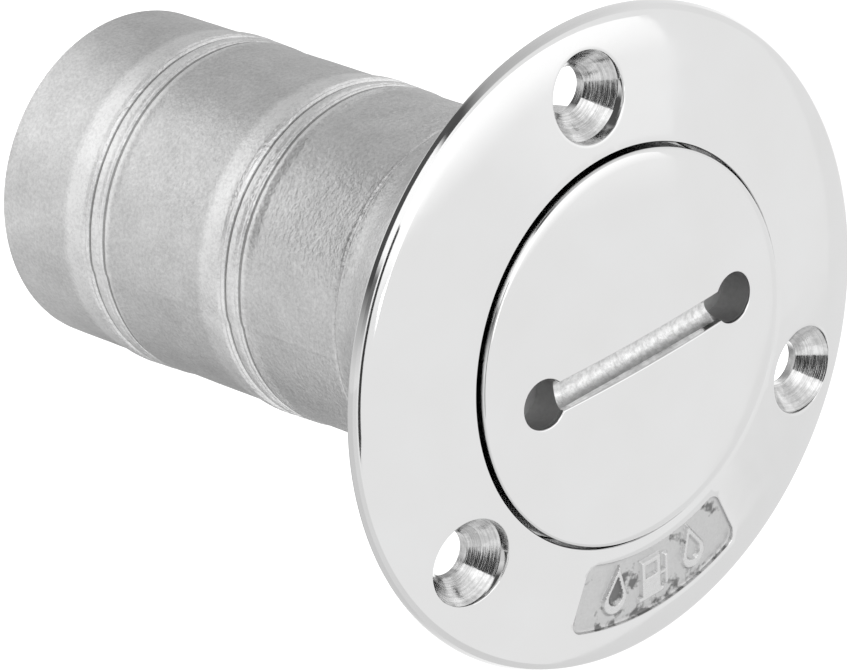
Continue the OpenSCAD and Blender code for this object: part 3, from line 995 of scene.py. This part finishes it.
def build_link(number):
    """A link of round wire, welded in the middle of one side."""
    node = f"chain_link_{number}"
    low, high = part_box(node)
    skin = Skin()
    flat, normals = oval(link_bend_r, link_half_straight)
    weld = (flat[:, 0] > 0) * np.exp(-((flat[:, 1] / 0.4) ** 2))
    stand = lambda p: columns(p[:, 0], 0, p[:, 1])
    skin.tube(stand(flat), stand(normals), wire_r * (1 + 0.08 * weld), "wire")
    turn = Matrix.Rotation(pi / 2 * (number % 2), 4, "Z")
    skin.move(Matrix.Translation((0, 0, (low.z + high.z) / 2 / MM)) @ turn)
    skin.build(node, "chain")


def build_toggle_ring():
    """A larger ring of round wire, welded on one side."""
    low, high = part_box("toggle_ring")
    skin = Skin()
    angles = round_angles(96)
    normals = columns(0, np.cos(angles), np.sin(angles))
    weld = np.exp(-((angles / 0.1) ** 2))
    path = toggle_ring_r * normals + (0, 0, (low.z + high.z) / 2 / MM)
    skin.tube(path, normals, toggle_wire_r * (1 + 0.1 * weld), "wire")
    skin.build("toggle_ring", "chain")


def build_toggle_bar():
    """Bar with ball ends and a cross hole. Its middle is laid out flat round the hole, then rolled up."""
    low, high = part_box("toggle_bar")
    skin = Skin()
    r = toggle_bar_r
    reach = 4.0
    count = 64
    edge_w = 0.2
    centre_z = (low.z + high.z) / 2 / MM
    ball_x = high.x / MM - r
    roll = lambda xs: columns(xs[:, 0], r * np.sin(xs[:, 1] / r), r * np.cos(xs[:, 1] / r))
    steps = np.linspace(0, 2 * pi * r, count + 1)
    across = np.linspace(-reach, reach, 21)
    border = np.concatenate([columns(across, 0), columns(reach, steps[1:]),
                             columns(across[-2::-1], steps[-1]), columns(-reach, steps[-2:0:-1])])
    angles = round_angles(48)

    def hole_edge(radius, side):
        z = radius * np.sin(angles)
        middle = pi / 2 if side > 0 else 3 * pi / 2
        return columns(radius * np.cos(angles), r * (middle - side * np.arcsin(z / r)))

    def hole_loop(radius, side, sink):
        y = side * (np.sqrt(r ** 2 - (radius * np.sin(angles)) ** 2) - sink)
        return columns(radius * np.cos(angles), y, radius * np.sin(angles))

    edges = [hole_edge(toggle_hole_r + edge_w, side) for side in (1, -1)]
    grid = flat_grid(np.linspace(-reach + 0.4, reach - 0.4, 19), steps[2:-2:2])
    grid = grid[np.all([outline_distance(grid, edge) > 0.15 for edge in edges], axis=0)]
    skin.patch([border] + edges, grid, roll, "turned")
    tunnel = []
    for side in (1, -1):
        mouth = [hole_loop(toggle_hole_r + edge_w * (1 - sin(a)), side, edge_w * (1 - cos(a)))
                 for a in EDGE_ANGLES]
        tunnel += mouth if side > 0 else mouth[::-1]
    skin.bridge(tunnel, "turned")
    for side in (-1, 1):
        outline = [(r, reach), (r, ball_x)] + arc(0, ball_x, r, r, 8, 90, 12)
        turned = steps[:-1] / r
        skin.bridge([columns(side * x, loop_r * np.sin(turned), loop_r * np.cos(turned))
                     for loop_r, x in outline], "turned")
    skin.move(Matrix.Translation((0, 0, centre_z)))
    skin.build("toggle_bar", "toggle")


# ---------------------------------------------------------------- camera, floor and light

def direction(azimuth, elevation):
    """Unit vector at an azimuth from +X and an elevation, both in degrees."""
    a, e = radians(azimuth), radians(elevation)
    return Vector((cos(a) * cos(e), sin(a) * cos(e), sin(e)))


def add_camera():
    """Long lens that looks down on the cap from one side, rolled so that the neck points up and left."""
    target = Vector((-4.04, -5.12, -24.14)) * MM
    distance = 708.2
    back = direction(141.71, 43.74)
    level = (-back).cross(Vector((0, 0, 1))).normalized()
    up = level.cross(-back)
    roll = radians(-109.81)
    right = level * cos(roll) - up * sin(roll)
    camera = bpy.data.objects.new("camera", bpy.data.cameras.new("camera"))
    bpy.context.scene.collection.objects.link(camera)
    camera.data.lens = 267.6
    camera.data.clip_start = 0.05
    camera.data.clip_end = 20
    turned = Matrix((right, back.cross(right), back)).transposed().to_4x4()
    camera.matrix_world = Matrix.Translation(target + back * distance * MM) @ turned
    bpy.context.scene.camera = camera


def stage_object(name, points, faces, material, seen=True):
    """A stage mesh in millimetres. If it isn't seen, only reflections show it."""
    mesh = bpy.data.meshes.new(name)
    mesh.from_pydata([Vector(p) * MM for p in points], [], faces)
    mesh.materials.append(material)
    made = bpy.data.objects.new(name, mesh)
    made.visible_camera = seen
    bpy.context.scene.collection.objects.link(made)


def glow_material(name, stops):
    """Light of its own that changes with the azimuth. stops are pairs of azimuth and radiance."""
    brightest = max(radiance for _, radiance in stops)
    material = bpy.data.materials.new(name)
    material.use_nodes = True
    tree = material.node_tree
    tree.nodes.clear()
    kinds = ("TexCoord", "SeparateXYZ", "Math", "MapRange", "ValToRGB", "Emission", "OutputMaterial")
    nodes = {kind: tree.nodes.new("ShaderNode" + kind) for kind in kinds}
    nodes["Math"].operation = "ARCTAN2"
    nodes["MapRange"].inputs["From Min"].default_value = -pi
    nodes["MapRange"].inputs["From Max"].default_value = pi
    nodes["Emission"].inputs["Strength"].default_value = brightest
    ramp = nodes["ValToRGB"].color_ramp
    for azimuth, radiance in stops:
        stop = ramp.elements.new(((azimuth + 180) % 360) / 360)
        stop.color = (*grey(radiance / brightest), 1)
    ramp.elements.remove(ramp.elements[-1])
    ramp.elements.remove(ramp.elements[0])
    wires = [("TexCoord", "Object", "SeparateXYZ", 0), ("SeparateXYZ", "Y", "Math", 0),
             ("SeparateXYZ", "X", "Math", 1), ("Math", 0, "MapRange", 0), ("MapRange", 0, "ValToRGB", 0),
             ("ValToRGB", 0, "Emission", "Color"), ("Emission", 0, "OutputMaterial", "Surface")]
    for source, output, target, entry in wires:
        tree.links.new(nodes[source].outputs[output], nodes[target].inputs[entry])
    return material


def add_band(name, r0, z0, r1, z1, stops, start=0, end=360):
    """A band-shaped card round the object, from one radius and height to another, only for reflections."""
    angles = np.radians(np.linspace(start, end, 73))
    points = np.concatenate([ring(r0, z0, angles), ring(r1, z1, angles)])
    n = len(angles)
    faces = [(i, i + 1, n + i + 1, n + i) for i in range(n - 1)]
    stage_object(name, points, faces, glow_material(name, stops), seen=False)


def add_stage():
    """Pale glowing floor under the neck, and band-shaped cards that shade what the metal reflects."""
    floor = bpy.data.materials.new("pale_floor")
    floor.use_nodes = True
    shader = floor.node_tree.nodes["Principled BSDF"]
    shader.inputs["Base Color"].default_value = (0.85, 0.85, 0.85, 1)
    shader.inputs["Roughness"].default_value = 0.9
    shader.inputs["Emission Color"].default_value = (1, 1, 1, 1)
    shader.inputs["Emission Strength"].default_value = 1.0
    side = 4000
    corners = [(x * side, y * side, neck_end_z) for x, y in ((-1, -1), (1, -1), (1, 1), (-1, 1))]
    stage_object("floor", corners, [(0, 1, 2, 3)], floor)
    card_z = neck_end_z + 0.5
    near = [(-20, 0.52), (80, 0.5), (92, 0.56), (112, 0.9), (140, 1.0), (152, 0.8), (180, 0.72), (215, 0.58),
            (250, 0.36), (320, 0.36)]
    add_band("card_foot", 1, neck_end_z + 0.02, 45, neck_end_z + 0.3, near)
    add_band("card_near_floor", 45, neck_end_z + 0.3, 95, card_z, near)
    add_band("card_far_floor", 95, card_z, 900, card_z,
             [(0, 1.3), (20, 1.0), (60, 0.75), (84, 0.5), (90, 0.3), (95, 0.1), (150, 0.08), (160, 0.5),
              (175, 0.85), (250, 0.75), (275, 1.1), (290, 1.4)])
    add_band("card_horizon", 900, card_z, 900, 420,
             [(0, 0.95), (30, 0.93), (60, 0.72), (84, 0.5), (90, 0.3), (95, 0.1), (103, 0.08), (108, 1.3),
              (141, 1.3), (148, 0.15), (156, 0.2), (168, 0.75), (178, 0.95), (225, 0.85), (280, 0.8),
              (330, 0.95)])
    add_band("card_by_camera", 480, 312, 480, 520, [(130, 0.05), (200, 0.05)], 131, 205)
    add_band("card_behind_camera", 900, 420, 700, 650,
             [(85, 1.0), (103, 1.3), (141, 1.3), (165, 1.0)], 85, 165)
    add_band("card_soft_box", 700, 650, 60, 1150,
             [(-24, 1.0), (-14, 1.12), (0, 1.3), (60, 1.5), (125, 1.5), (165, 1.0)], -24, 165)


def add_area_light(name, azimuth, elevation, distance, width, height, radiance):
    """A soft box that faces the origin, equally bright all over."""
    light = bpy.data.lights.new(name, "AREA")
    light.shape = "RECTANGLE"
    light.size = width * MM
    light.size_y = height * MM
    light.energy = radiance * pi * width * height * MM * MM
    made = bpy.data.objects.new(name, light)
    back = direction(azimuth, elevation)
    facing = back.to_track_quat("Z", "Y").to_matrix().to_4x4()
    made.matrix_world = Matrix.Translation(back * distance * MM) @ facing
    made.visible_camera = False
    bpy.context.scene.collection.objects.link(made)


def add_light():
    """Even white surroundings, with a small soft box overhead."""
    world = bpy.data.worlds.new("studio")
    bpy.context.scene.world = world
    world.use_nodes = True
    background = world.node_tree.nodes["Background"]
    background.inputs["Color"].default_value = (1, 1, 1, 1)
    background.inputs["Strength"].default_value = 1.0
    add_area_light("top_light", 125, 78, 1300, 500, 500, 2)
    bpy.context.scene.view_settings.view_transform = "Standard"


add_camera()
add_stage()
add_light()
build_body()
build_cap()
build_o_ring()
build_stud()
build_yoke()
build_pin()
for number in range(1, 11):
    build_link(number)
build_toggle_ring()
build_toggle_bar()
